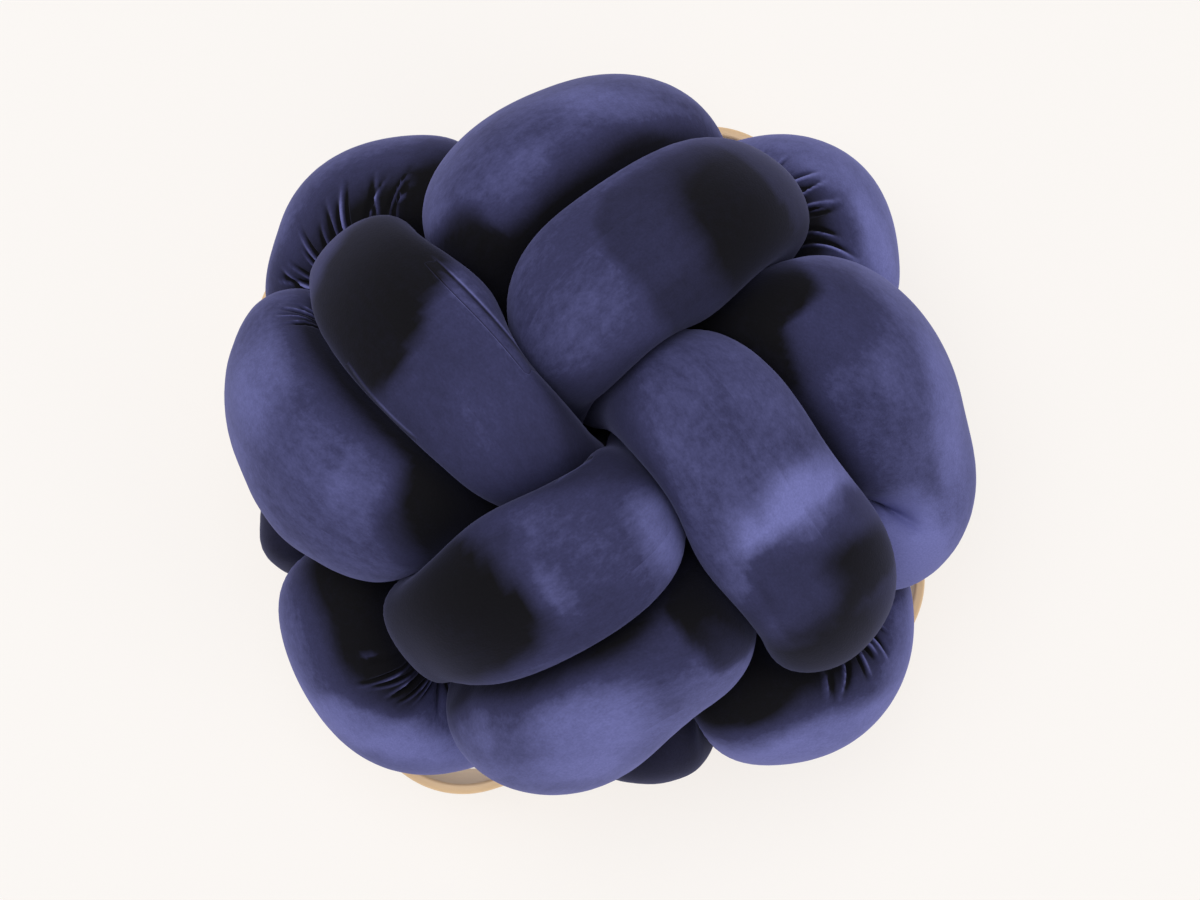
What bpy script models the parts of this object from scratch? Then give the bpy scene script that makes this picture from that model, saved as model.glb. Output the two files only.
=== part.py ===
"""Knot cushion nested in a thin bentwood band.

Two filled velvet tubes lie side by side all the way round one four-loop
knot.  Each quarter of the knot goes over the top near the middle, dives at
the side, turns round underneath and climbs back.  The tubes are soft, so
wherever two passes meet they press each other flat along the plane half way
between them, and they bulge where nothing holds them.  The ball stands in a
rounded-square band of pale wood.

Metres, +Z up, the floor at z = 0, the middle of the whole cushion's box on
the Z axis.  The loops don't reach equally far out, so the knot's own axis, on
which the band is centred too, stands a little beside it.
"""
import math
from collections import namedtuple

import bpy
import bmesh
import numpy as np
from mathutils import Matrix
from mathutils.bvhtree import BVHTree

# ---------------------------------------------------------------- sizes
PITCH = 0.066            # width one tube takes up where it is packed
FULL_RADIUS = 0.74       # half the width of a tube where nothing presses it (pitches)
SQUARE = (2.15, 2.8)     # power of its section at the sides and on top: 2 is round
SWELL = 1.30             # how far a squeezed tube may swell on its free sides
BALL_RADIUS = 2.30       # mid-surface of the wound ball (pitches)
BALL_HEIGHT = 1.05       # half its height (pitches)
BALL_POWER = 2.3         # squareness of its profile
MIDDLE = 0.1530          # height of the ball's mid-plane above the floor
SLUMP = 0.11             # how far the lower half has spread outwards
SLUMP_FROM = 0.45        # height at which the spreading starts (pitches)
SLUMP_TO = -0.35         # height at which it is complete (pitches)
SAG = 0.92               # flattening of the lower half
LEAN = (0.22, -0.12)     # the knot's underside sits off the axis (pitches)
FILL = 3.2               # area of filling in a section, over its half width squared
UNDERSIDE = 0.008        # clear height under the cushion

AXIS = (-0.00612, 0.0)    # where the knot's axis and the band's middle stand

FIRST_LOOP = 219.0       # bearing of the first loop, degrees from +X
RINGS = 220              # cross-sections along each tube
SIDES = 18               # corners of a cross-section
FINE = 900               # points that stand for a tube when others press on it
CREASE = 0.0014          # gap left between two pressed passes
PRESS = 12.0             # how sharply a pressed side turns into a free one
UPRIGHT = 1.15           # leans each section so that a corner points at the axis
BEND_GUARD = 0.86        # share of the bend radius a tube may fill inside a turn

BAND_HALF = 0.2115       # half the outer width of the wood band
BAND_CORNER = 0.072      # its outer corner radius
BAND_THICK = 0.0075
BAND_HEIGHT = 0.070
BAND_EDGE = 0.0022       # rounding of the band's edges
BAND_TURN = 17.6         # bearing of the middle of one side
BAND_PRESS = 0.0008      # how far velvet would sink into the wood if it were not eased off
CLEAR = 0.0006           # least air left between velvet and velvet; half of it to the wood
EASE = 0.0003            # how much a surface that touches another is drawn in at a time
SOFTEN_AT = (12, 24)     # rounds of easing after which the skins are evened out
CORNER_STEPS = 9
SIDE_STEPS = 6

VELVET = (0.060, 0.058, 0.160, 1.0)
VELVET_SIDE = (0.052, 0.052, 0.150, 1.0)
WOOD = (0.78, 0.56, 0.34, 1.0)

# A pass over the top, or under the bottom, of one loop.  "along" runs
# clockwise from the middle of the loop, "out" is the distance from the axis
# line, both measured over the ball's surface; "lift" is the height over its
# mid-surface.  All in pitches.
Pass = namedtuple("Pass", "along out lift")
TOP_INNER = (
    Pass(-3.00, 0.80, -0.10),
    Pass(-2.30, 0.66, -0.42),
    Pass(-1.50, 0.58, -0.47),
    Pass(-0.70, 0.54, -0.42),
    Pass(-0.10, 0.50, 0.05),
    Pass(0.50, 0.52, 0.42),
    Pass(1.30, 0.58, 0.48),
    Pass(2.00, 0.62, 0.34),
    Pass(2.90, 0.77, 0.10),
)
TOP_OUTER = (
    Pass(-3.05, 1.05, -0.10),
    Pass(-2.10, 1.60, -0.42),
    Pass(-1.30, 1.62, -0.47),
    Pass(-0.50, 1.62, -0.38),
    Pass(0.10, 1.68, 0.05),
    Pass(0.70, 1.77, 0.35),
    Pass(1.30, 1.80, 0.42),
    Pass(2.00, 1.73, 0.36),
    Pass(2.65, 1.62, 0.10),
)
LOW_OUTER = (
    Pass(-2.72, 1.62, 0.10),
    Pass(-2.10, 1.55, -0.42),
    Pass(-1.30, 1.50, -0.47),
    Pass(-0.60, 1.55, -0.32),
    Pass(-0.08, 1.76, 0.22),
    Pass(0.42, 1.98, 0.50),
    Pass(1.12, 2.05, 0.57),
    Pass(1.75, 1.90, 0.42),
    Pass(2.72, 1.62, 0.00),
)
LOW_INNER = (
    Pass(-3.05, 0.80, -0.10),
    Pass(-2.30, 0.60, -0.42),
    Pass(-1.50, 0.50, -0.47),
    Pass(-0.60, 0.46, -0.38),
    Pass(0.00, 0.46, 0.00),
    Pass(0.60, 0.48, 0.38),
    Pass(1.40, 0.54, 0.48),
    Pass(2.10, 0.62, 0.40),
    Pass(2.78, 1.46, 0.10),
)

# The knot was pulled tight by hand, so no two loops are quite alike.  Added
# to the passes of each loop, in pitches.  "inner" and "outer" shift its two top
# bands away from the axis, "heel" and "toe" only where they set out, "tuck" and
# "flare" only where they end; "tip" lengthens the inner one and "dive" lifts its
# end, and "swing" turns the outer one clockwise, in degrees.  "first",
# "middle" and "last" push out the low side lobe that follows.
Loop = namedtuple("Loop", "inner heel tuck tip dive outer toe flare swing first middle last")
LOOPS = (
    Loop(-0.07, 0.00, 0.00, -0.12, 0.00, 0.08, -0.25, 0.00, 6.0, 0.42, 0.50, 0.26),
    Loop(0.10, 0.20, -0.22, -0.18, -0.32, -0.28, 0.38, 0.00, -4.0, 0.44, 0.60, 0.26),
    Loop(0.04, 0.18, 0.00, 0.06, 0.00, 0.40, 0.06, 0.10, 6.0, -0.40, 0.22, 0.06),
    Loop(0.19, 0.00, 0.00, -0.06, 0.00, 0.14, 0.04, 0.00, 3.0, -0.12, 0.16, 0.22),
)


# ---------------------------------------------------------------- the path
def ball_profile(count=400):
    """Distance over the surface from the pole, radius and height, in pitches."""
    angle = np.linspace(0.0, math.pi / 2, count)
    radius = BALL_RADIUS * np.sin(angle) ** (2 / BALL_POWER)
    height = BALL_HEIGHT * np.cos(angle) ** (2 / BALL_POWER)
    steps = np.hypot(np.diff(radius), np.diff(height))
    return np.concatenate([[0.0], np.cumsum(steps)]), radius, height


PROFILE = ball_profile()
EQUATOR = PROFILE[0][-1]


def on_ball(distance):
    """Radius, height and outward normal at a distance from the pole."""
    over, radius, height = PROFILE
    below = distance > EQUATOR
    d = np.where(below, 2 * EQUATOR - distance, distance)
    step = 0.02
    far, near = np.clip(d + step, 0, EQUATOR), np.clip(d - step, 0, EQUATOR)
    run = np.interp(far, over, radius) - np.interp(near, over, radius)
    rise = np.interp(far, over, height) - np.interp(near, over, height)
    size = np.hypot(run, rise)
    sign = np.where(below, -1.0, 1.0)
    return (np.interp(d, over, radius), sign * np.interp(d, over, height),
            -rise / size, sign * run / size)


def pass_points(table, bearing, underneath, shift=0.0, start=0.0, end=0.0, tip=0.0, dive=0.0,
                lobe=(0.0, 0.0, 0.0)):
    """The key points of one pass, in pitches, with its loop's own shifts."""
    along, out, lift = np.array(table).T
    if underneath:
        lift = lift + np.interp(along, (-0.5, 0.42, 1.12, 1.75, 2.6), (0.0, *lobe, 0.0))
        lift = lift + dive * np.clip((-2.0 - along) / 0.7, 0, 1)
    else:
        after = np.clip(along + 0.5, 0, 1) * np.clip((2.6 - along) / 0.9, 0, 1)
        late = np.clip((along - 0.9) / 1.1, 0, 1) * np.clip((3.4 - along) / 0.6, 0, 1)
        out = out + shift * after + start * np.clip(1 - np.abs(along - 0.1) / 0.9, 0, 1) + end * late
        lift = lift + 0.4 * shift * after + 0.5 * tip * late + dive * np.clip((along - 1.2) / 0.8, 0, 1)
        along = along + tip * late
    turn = math.radians(bearing) - np.arctan2(along, out)
    radius, height, n_out, n_up = on_ball(np.hypot(along, out))
    radius = radius + lift * n_out
    height = height + lift * n_up
    if underneath:
        height = -height
    return np.stack([radius * np.cos(turn), radius * np.sin(turn), height], -1)


def slumped(points):
    """The lower half sags a little and spreads outwards."""
    share = np.clip((SLUMP_FROM - points[:, 2]) / (SLUMP_FROM - SLUMP_TO), 0, 1)
    share = share * share * (3 - 2 * share)
    out = points.copy()
    out[:, :2] *= (1 + SLUMP * share)[:, None]
    out[:, 2] = np.where(out[:, 2] < 0, out[:, 2] * SAG, out[:, 2])
    under = np.clip(-points[:, 2] - 0.3, 0, 1)
    out[:, :2] += under[:, None] * np.array(LEAN)
    return out


def knot_keys(top, low, inner):
    """Key points of a whole tube: over, under, and on to the next loop."""
    passes = []
    for number, loop in enumerate(LOOPS):
        bearing = FIRST_LOOP - 270.0 * number
        if inner:
            passes.append(pass_points(top, bearing, False, loop.inner, loop.heel, loop.tuck, loop.tip,
                                      loop.dive))
            passes.append(pass_points(low, bearing - 135.0, True, dive=loop.dive,
                                      lobe=(loop.first, loop.middle, loop.last)))
        else:
            passes.append(pass_points(top, bearing - loop.swing, False, loop.outer, loop.toe, loop.flare))
            passes.append(pass_points(low, bearing - 135.0, True))
    keys = []
    for here, after in zip(passes, passes[1:] + passes[:1]):
        keys.append(here[1:-1])
        keys.append(((here[-1] + after[0]) / 2)[None])
    points = slumped(np.concatenate(keys)) * PITCH
    points[:, 2] += MIDDLE
    return points


def smooth_loop(keys, count):
    """A closed cubic spline through the keys, cut into even steps."""
    n = len(keys)
    following = np.roll(keys, -1, 0)
    knots = np.linalg.norm(following - keys, axis=1) ** 0.5
    matrix, right = np.zeros((n, n)), np.zeros((n, 3))
    for i in range(n):
        before, after = knots[i - 1], knots[i]
        matrix[i, i - 1] += before
        matrix[i, i] += 2 * (before + after)
        matrix[i, (i + 1) % n] += after
        right[i] = 6 * ((following[i] - keys[i]) / after - (keys[i] - keys[i - 1]) / before)
    bend = np.linalg.solve(matrix, right)
    x = np.linspace(0, 1, 40, endpoint=False)[:, None]
    spans = []
    for i in range(n):
        h, j = knots[i], (i + 1) % n
        spans.append((1 - x) * keys[i] + x * keys[j] + h * h / 6 * (
            ((1 - x) ** 3 - (1 - x)) * bend[i] + (x ** 3 - x) * bend[j]))
    dense = np.concatenate(spans)
    dense = np.concatenate([dense, dense[:1]])
    length = np.concatenate([[0.0], np.cumsum(np.linalg.norm(np.diff(dense, axis=0), axis=1))])
    where = np.linspace(0, length[-1], count, endpoint=False)
    return np.stack([np.interp(where, length, dense[:, k]) for k in range(3)], -1)


# ---------------------------------------------------------------- the wood
def band_distance(points, outer):
    """Signed distance in plan from a rounded square; below zero is inside."""
    turn = math.radians(BAND_TURN)
    x = np.abs(points[..., 0] * math.cos(turn) + points[..., 1] * math.sin(turn))
    y = np.abs(points[..., 1] * math.cos(turn) - points[..., 0] * math.sin(turn))
    half = BAND_HALF - (0 if outer else BAND_THICK)
    corner = BAND_CORNER - (0 if outer else BAND_THICK)
    dx, dy = x - (half - corner), y - (half - corner)
    outside = np.hypot(np.maximum(dx, 0), np.maximum(dy, 0))
    return outside + np.minimum(np.maximum(dx, dy), 0) - corner


def free_reach(starts, ways, longest):
    """How far each ray runs before it meets the band or the clear underside."""
    steps = np.arange(0.0, longest, 0.0004)
    reach = np.full(ways.shape[:2], longest)
    for i in range(len(starts)):
        if starts[i, 2] > BAND_HEIGHT + longest:
            continue
        points = starts[i] + steps[:, None, None] * ways[i]
        low = points[..., 2] < BAND_HEIGHT - BAND_PRESS
        hit = (low & (band_distance(points, False) > BAND_PRESS)) | (points[..., 2] < UNDERSIDE)
        first = np.where(hit.any(0), hit.argmax(0), len(steps))
        reach[i] = np.minimum(reach[i], steps[np.clip(first - 1, 0, len(steps) - 1)])
    return reach


# ---------------------------------------------------------------- the tubes
def across(path):
    """Two directions square to the path at each point, the first outwards."""
    along = np.roll(path, -1, 0) - np.roll(path, 1, 0)
    along /= np.linalg.norm(along, axis=1, keepdims=True)
    outward = (path - (0, 0, MIDDLE)) * (1.0, 1.0, UPRIGHT)
    outward -= (outward * along).sum(1, keepdims=True) * along
    outward /= np.linalg.norm(outward, axis=1, keepdims=True)
    return outward, np.cross(along, outward)


def pressed_radii(path, own, others, sides):
    """Radius of the tube in each direction, at each point of its path."""
    count = len(path)
    length = np.linalg.norm(np.roll(own, -1, 0) - own, axis=1).sum()
    outward, aside = across(path)
    angle = np.arange(sides) * 2 * math.pi / sides
    ways = (np.cos(angle)[None, :, None] * outward[:, None]
            + np.sin(angle)[None, :, None] * aside[:, None])
    limit = np.full((count, sides), 1.0)
    place = np.arange(len(own)) / len(own)
    for i in range(count):
        away = np.abs(place - i / count)
        away = np.minimum(away, 1 - away) * length
        near = np.concatenate([own[away > 1.5 * PITCH], others]) - path[i]
        gap = np.linalg.norm(near, axis=1)
        keep = gap < 2.2 * PITCH
        near, gap = near[keep], gap[keep]
        facing = ways[i] @ (near / gap[:, None]).T
        reach = (gap / 2 - CREASE / 2)[None, :] / np.maximum(facing, 1e-3)
        limit[i] = np.where(facing > 1e-3, reach, 1.0).min(1)
    step = length / count
    bend = (np.roll(path, -1, 0) - 2 * path + np.roll(path, 1, 0)) / step ** 2
    inward = np.einsum("ikd,id->ik", ways, bend)
    limit = np.minimum(limit, np.where(inward > 0.1, BEND_GUARD / np.maximum(inward, 0.1), 1.0))
    full = FULL_RADIUS * PITCH
    reach = free_reach(path, ways, full * SWELL * 1.1)
    hard = np.minimum(limit, reach)
    for axis in (0, 1):
        reach = np.minimum(np.minimum(np.roll(reach, 1, axis), np.roll(reach, -1, axis)), reach)
    for axis in (0, 1, 0):
        reach = (np.roll(reach, 1, axis) + 2 * reach + np.roll(reach, -1, axis)) / 4
    limit = np.minimum(limit, reach)

    share = np.clip((path[:, 2] - MIDDLE) / PITCH - 0.1, 0, 1)[:, None]
    power = SQUARE[0] + (SQUARE[1] - SQUARE[0]) * share
    free = (np.abs(np.cos(angle)) ** power + np.abs(np.sin(angle)) ** power) ** (-1 / power)

    def rounded(size):
        return ((size[:, None] * free) ** -PRESS + limit ** -PRESS) ** (-1 / PRESS)

    size = np.full(count, full)
    for _ in range(6):
        radii = rounded(size)
        area = 0.5 * math.sin(angle[1]) * (radii * np.roll(radii, -1, 1)).sum(1)
        size = np.clip(size * (FILL * full ** 2 / area) ** 0.35, full, full * SWELL)
        for _ in range(3):
            size = (np.roll(size, 1) + 2 * size + np.roll(size, -1)) / 4
    radii = rounded(size)
    for _ in range(2):
        radii = (np.roll(radii, 1, 0) + 2 * radii + np.roll(radii, -1, 0)) / 4
    return np.minimum(radii, hard), ways


def skin_faces(count, sides):
    """Corners of the triangles that skin the sections, ring by ring."""
    faces = []
    for i in range(count):
        j = (i + 1) % count
        for k in range(sides):
            m = (k + 1) % sides
            a, b, c, d = i * sides + k, j * sides + k, j * sides + m, i * sides + m
            faces += [(a, b, c), (a, c, d)] if (i + k) % 2 else [(a, b, d), (b, c, d)]
    return faces


def ease_apart(tubes, band, rounds=60):
    """Draw the skins in, a little at a time, until none touches another."""
    count, sides = tubes[0][1].shape
    faces = skin_faces(count, sides)
    corners = np.array(faces)
    wood = BVHTree.FromPolygons(*band)
    for number in range(rounds):
        if number in SOFTEN_AT:
            for path, radii, ways in tubes:
                soft = (np.roll(radii, 1, 0) + 2 * radii + np.roll(radii, -1, 0)) / 4
                soft = (np.roll(soft, 1, 1) + 4 * soft + np.roll(soft, -1, 1)) / 6
                radii[:] = soft
        trees = []
        for path, radii, ways in tubes:
            swollen = path[:, None] + (radii + CLEAR / 2)[..., None] * ways
            trees.append(BVHTree.FromPolygons(swollen.reshape(-1, 3).tolist(), faces))
        marks = [np.zeros(count * sides, bool) for _ in tubes]
        for a, tree in enumerate(trees):
            own = np.array(tree.overlap(tree), int).reshape(-1, 2)
            first, second = corners[own[:, 0]], corners[own[:, 1]]
            apart = (first[:, :, None] != second[:, None, :]).all((1, 2))
            marks[a][first[apart]] = True
            touching = np.array(tree.overlap(wood), int).reshape(-1, 2)
            if len(touching):
                marks[a][corners[touching[:, 0]]] = True
        both = np.array(trees[0].overlap(trees[1]), int).reshape(-1, 2)
        if len(both):
            marks[0][corners[both[:, 0]]] = True
            marks[1][corners[both[:, 1]]] = True
        if not any(mark.any() for mark in marks):
            break
        for (path, radii, ways), mark in zip(tubes, marks):
            radii -= EASE * mark.reshape(count, sides)


def tube_mesh(name, path, radii, ways):
    """Skin the sections into one closed ring-shaped tube."""
    corners = path[:, None] + radii[..., None] * ways + (*AXIS, 0.0)
    bm = bmesh.new()
    verts = [bm.verts.new(corner) for corner in corners.reshape(-1, 3)]
    for face in skin_faces(*radii.shape):
        bm.faces.new([verts[i] for i in face])
    bmesh.ops.recalc_face_normals(bm, faces=bm.faces[:])
    mesh = bpy.data.meshes.new(name)
    bm.to_mesh(mesh)
    bm.free()
    mesh.shade_smooth()
    return mesh


def band_outline(inset):
    """Corners of the rounded square, drawn in by inset, anticlockwise."""
    half, corner = BAND_HALF - BAND_CORNER, BAND_CORNER - inset
    points = []
    for quarter in range(4):
        middle = quarter * math.pi / 2 + math.pi / 4
        cx = half * math.sqrt(2) * math.cos(middle)
        cy = half * math.sqrt(2) * math.sin(middle)
        for i in range(CORNER_STEPS + 1):
            a = quarter * math.pi / 2 + i * math.pi / 2 / CORNER_STEPS
            points.append((cx + corner * math.cos(a), cy + corner * math.sin(a)))
        # the straight side that follows
        x0, y0 = points[-1]
        a = (quarter + 1) * math.pi / 2 + math.pi / 2
        for i in range(1, SIDE_STEPS):
            run = 2 * half * i / SIDE_STEPS
            points.append((x0 + run * math.cos(a), y0 + run * math.sin(a)))
    return points


def band_mesh(name):
    """The bentwood band: its section, with eased edges, carried round."""
    e = BAND_EDGE
    section = [(0, e), (0, BAND_HEIGHT - e), (e, BAND_HEIGHT),
               (BAND_THICK - e, BAND_HEIGHT), (BAND_THICK, BAND_HEIGHT - e),
               (BAND_THICK, e), (BAND_THICK - e, 0), (e, 0)]
    bm = bmesh.new()
    rows = [[bm.verts.new((x, y, z)) for x, y in band_outline(inset)] for inset, z in section]
    count = len(rows[0])
    for r in range(len(rows)):
        here, after = rows[r], rows[(r + 1) % len(rows)]
        for i in range(count):
            j = (i + 1) % count
            bm.faces.new((here[i], here[j], after[j], after[i]))
    bmesh.ops.triangulate(bm, faces=bm.faces[:])
    bmesh.ops.recalc_face_normals(bm, faces=bm.faces[:])
    mesh = bpy.data.meshes.new(name)
    bm.to_mesh(mesh)
    bm.free()
    return mesh


# ---------------------------------------------------------------- the scene
def material(name, colour, roughness):
    made = bpy.data.materials.new(name)
    made.use_nodes = True
    shader = made.node_tree.nodes["Principled BSDF"]
    shader.inputs["Base Color"].default_value = colour
    shader.inputs["Roughness"].default_value = roughness
    shader.inputs["Metallic"].default_value = 0.0
    return made


def add(name, mesh, look, place=(0.0, 0.0), turn=0.0):
    mesh.materials.append(look)
    made = bpy.data.objects.new(name, mesh)
    made.location = (*place, 0.0)
    made.rotation_euler = (0.0, 0.0, turn)
    bpy.context.scene.collection.objects.link(made)
    return made


def main():
    for old in list(bpy.data.objects):
        bpy.data.objects.remove(old)
    keys = [knot_keys(TOP_INNER, LOW_OUTER, True),
            knot_keys(TOP_OUTER, LOW_INNER, False)]
    fine = [smooth_loop(k, FINE) for k in keys]
    looks = [material("velvet inner", VELVET, 0.9), material("velvet outer", VELVET_SIDE, 0.9)]
    paths = [smooth_loop(k, RINGS) for k in keys]
    tubes = [(path, *pressed_radii(path, fine[i], fine[1 - i], SIDES))
             for i, path in enumerate(paths)]
    band = band_mesh("wood_band")
    turned = Matrix.Rotation(math.radians(BAND_TURN), 4, "Z")
    ease_apart(tubes, ([turned @ vert.co for vert in band.vertices],
                       [tuple(face.vertices) for face in band.polygons]))
    for name, tube, look in zip(("knot_tube_inner", "knot_tube_outer"), tubes, looks):
        add(name, tube_mesh(name, *tube), look)
    add("wood_band", band, material("wood", WOOD, 0.45), AXIS, math.radians(BAND_TURN))


main()
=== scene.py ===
"""Knot cushion in a bentwood band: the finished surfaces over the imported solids.

Two filled velvet tubes lie side by side all the way round a four-loop knot.
They press each other flat along the plane half way between them, bulge where
nothing holds them, and pucker where a loop is forced round the end of a band.
The band is drawn as a section carried round a rounded square.

Metres, +Z up, the floor at z = 0, in the part's own frame.
"""
import math
from collections import namedtuple

import bpy
import numpy as np
from bpy.props import FloatProperty, FloatVectorProperty, IntProperty, PointerProperty
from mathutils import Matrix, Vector
from mathutils.bvhtree import BVHTree


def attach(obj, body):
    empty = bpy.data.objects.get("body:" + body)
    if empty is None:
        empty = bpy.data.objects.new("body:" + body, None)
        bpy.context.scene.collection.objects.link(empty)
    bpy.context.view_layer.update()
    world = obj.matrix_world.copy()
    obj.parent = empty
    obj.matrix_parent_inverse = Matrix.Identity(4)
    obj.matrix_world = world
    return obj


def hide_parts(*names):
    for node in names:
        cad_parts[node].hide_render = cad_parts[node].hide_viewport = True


bl_info = {
    "name": "Knot Cushion",
    "version": (1, 0, 0),
    "blender": (4, 5, 0),
    "location": "3D View > Sidebar > Knot Cushion",
    "description": "Two filled velvet tubes tied in a round knot, in a bentwood band",
    "category": "Add Mesh",
}

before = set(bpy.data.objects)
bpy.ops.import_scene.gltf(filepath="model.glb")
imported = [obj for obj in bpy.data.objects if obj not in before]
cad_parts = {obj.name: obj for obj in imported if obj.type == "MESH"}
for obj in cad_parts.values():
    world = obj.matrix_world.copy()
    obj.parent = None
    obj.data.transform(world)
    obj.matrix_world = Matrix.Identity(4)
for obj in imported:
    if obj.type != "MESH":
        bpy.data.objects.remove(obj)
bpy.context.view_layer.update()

# ---------------- sizes, as in the part
PITCH = 0.066            # width one tube takes up where it is packed
FULL_RADIUS = 0.74       # half the width of a tube where nothing presses it (pitches)
SQUARE = (2.15, 2.8)     # power of its section at the sides and on top: 2 is round
SWELL = 1.30             # how far a squeezed tube may swell on its free sides
BALL_RADIUS = 2.30       # mid-surface of the wound ball (pitches)
BALL_HEIGHT = 1.05       # half its height (pitches)
BALL_POWER = 2.3         # squareness of its profile
MIDDLE = 0.1530          # height of the ball's mid-plane above the floor
SLUMP = 0.11             # how far the lower half has spread outwards
SLUMP_FROM = 0.45        # height at which the spreading starts (pitches)
SLUMP_TO = -0.35         # height at which it is complete (pitches)
SAG = 0.92               # flattening of the lower half
LEAN = (0.22, -0.12)     # the knot's underside sits off the axis (pitches)
FILL = 3.2               # area of filling in a section, over its half width squared
UNDERSIDE = 0.008        # clear height under the cushion
AXIS = (-0.00612, 0.0, 0.0)  # where the knot's axis meets the floor
FIRST_LOOP = 219.0       # bearing of the first loop, degrees from +X
FINE = 900               # points that stand for a tube when others press on it
PRESS = 12.0             # how sharply a pressed side turns into a free one
UPRIGHT = 1.15           # leans each section so that a corner points at the axis
BEND_GUARD = 0.86        # share of the bend radius a tube may fill inside a turn
BAND_HALF = 0.2115       # half the outer width of the wood band
BAND_CORNER = 0.072      # its outer corner radius
BAND_THICK = 0.0075
BAND_HEIGHT = 0.070
BAND_TURN = 17.6         # bearing of the middle of one side
BAND_PRESS = 0.0008      # how far velvet would sink into the wood if it were not eased off

# ---------------- how it is laid, pressed, coloured and seen
LEAN_FROM = 0.3          # depth below the mid-plane at which the leaning starts (pitches)
SPAN_STEPS = 40          # steps of the spline between two key points
OWN_APART = 1.5          # a tube presses on itself no nearer than this along its length (pitches)
NEAR = 2.2               # how far round a point others are looked for (pitches)
OPEN = 1.0               # stands for "nothing in the way", in metres
RAY_STEP = 0.0008        # fineness of the search for the band and the floor
HELD_FROM, HELD_FADE = 0.90, 0.06  # share of the room others leave at which a side is pressed
CLEAR = 0.0003           # gap that is left between two skins
EASE, EASE_ROUNDS, EASE_SMOOTH = 0.00025, 30, (8, 16)  # drawing in, and the rounds that smooth it
PLAIN_TONE = 0.25        # the nap where no table says otherwise
WAVER = 0.0011           # how far the rim of a nap mark wavers
NO_LINE = 12.0           # line widths at which a fine crease no longer counts
NATURAL = 2.718          # base of the bell curves across a fine crease
PILE_DEPTH = 0.0004      # height of the pile's fine grain
EYE = (-0.0027, -0.0718, 1.040)  # the camera, from where the knot's axis meets the floor
FOCUS = 1320             # its focal length, in pixels of the photograph
OFF_MIDDLE = (15, 101)   # the picture's middle from the point right below it, in pixels

# Points on the pass over the top, or under the bottom, of one loop: (along, out,
# lift).  "along" runs clockwise from the middle of the loop, "out" is the
# distance from the axis line, both measured over the ball's surface; "lift" is
# the height over its mid-surface.  All in pitches.
TOP_INNER = (
    (-3.00, 0.80, -0.10), (-2.30, 0.66, -0.42), (-1.50, 0.58, -0.47),
    (-0.70, 0.54, -0.42), (-0.10, 0.50, 0.05), (0.50, 0.52, 0.42),
    (1.30, 0.58, 0.48), (2.00, 0.62, 0.34), (2.90, 0.77, 0.10),
)
TOP_OUTER = (
    (-3.05, 1.05, -0.10), (-2.10, 1.60, -0.42), (-1.30, 1.62, -0.47),
    (-0.50, 1.62, -0.38), (0.10, 1.68, 0.05), (0.70, 1.77, 0.35),
    (1.30, 1.80, 0.42), (2.00, 1.73, 0.36), (2.65, 1.62, 0.10),
)
LOW_OUTER = (
    (-2.72, 1.62, 0.10), (-2.10, 1.55, -0.42), (-1.30, 1.50, -0.47),
    (-0.60, 1.55, -0.32), (-0.08, 1.76, 0.22), (0.42, 1.98, 0.50),
    (1.12, 2.05, 0.57), (1.75, 1.90, 0.42), (2.72, 1.62, 0.00),
)
LOW_INNER = (
    (-3.05, 0.80, -0.10), (-2.30, 0.60, -0.42), (-1.50, 0.50, -0.47),
    (-0.60, 0.46, -0.38), (0.00, 0.46, 0.00), (0.60, 0.48, 0.38),
    (1.40, 0.54, 0.48), (2.10, 0.62, 0.40), (2.78, 1.46, 0.10),
)

# The knot was pulled tight by hand, so no two loops are quite alike.  Added
# to the passes of each loop, in pitches.  "inner" and "outer" shift its two top
# bands away from the axis, "heel" and "toe" only where they set out, "tuck" and
# "flare" only where they end; "tip" lengthens the inner one and "dive" lifts its
# end, and "swing" turns the outer one clockwise, in degrees.  "first",
# "middle" and "last" push out the low side lobe that follows.
Loop = namedtuple("Loop", "inner heel tuck tip dive outer toe flare swing first middle last")
LOOPS = (
    Loop(-0.07, 0.00, 0.00, -0.12, 0.00, 0.08, -0.25, 0.00, 6.0, 0.42, 0.50, 0.26),
    Loop(0.10, 0.20, -0.22, -0.18, -0.32, -0.28, 0.38, 0.00, -4.0, 0.44, 0.60, 0.26),
    Loop(0.04, 0.18, 0.00, 0.06, 0.00, 0.40, 0.06, 0.10, 6.0, -0.40, 0.22, 0.06),
    Loop(0.19, 0.00, 0.00, -0.06, 0.00, 0.14, 0.04, 0.00, 3.0, -0.12, 0.16, 0.22),
)

# Puckers where a tube is forced round the end of a band.  "start" and "end"
# are shares of the tube's own length; "reach" is how far the folds run from
# the crease, in metres.
INNER, OUTER = 0, 1
Gather = namedtuple("Gather", "tube start end folds reach depth")
GATHERS = (
    Gather(INNER, 0.430, 0.480, 21, 0.034, 1.20),
    Gather(INNER, 0.192, 0.242, 19, 0.031, 1.20),
    Gather(INNER, 0.930, 0.968, 12, 0.031, 1.20),
    Gather(INNER, 0.687, 0.722, 13, 0.031, 1.20),
    Gather(OUTER, 0.082, 0.106, 8, 0.022, 1.00),
)

# Where the filling has been pushed into a hollow: above a height, round a point
# in plan.  The first closes the pit that the four inner bands leave between them.
BOTH = 2
Bulge = namedtuple("Bulge", "tube x y above reach height")
BULGES = (
    Bulge(INNER, 0.0058, -0.0145, 0.200, 0.016, 0.0045),
    Bulge(BOTH, -0.2213, 0.1082, 0.076, 0.050, 0.0065),
    Bulge(OUTER, -0.2256, -0.0675, 0.076, 0.050, 0.0050),
    Bulge(OUTER, -0.2080, -0.0930, 0.076, 0.045, 0.0150),
    Bulge(OUTER, 0.1041, -0.2171, 0.076, 0.050, 0.0100),
)

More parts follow.
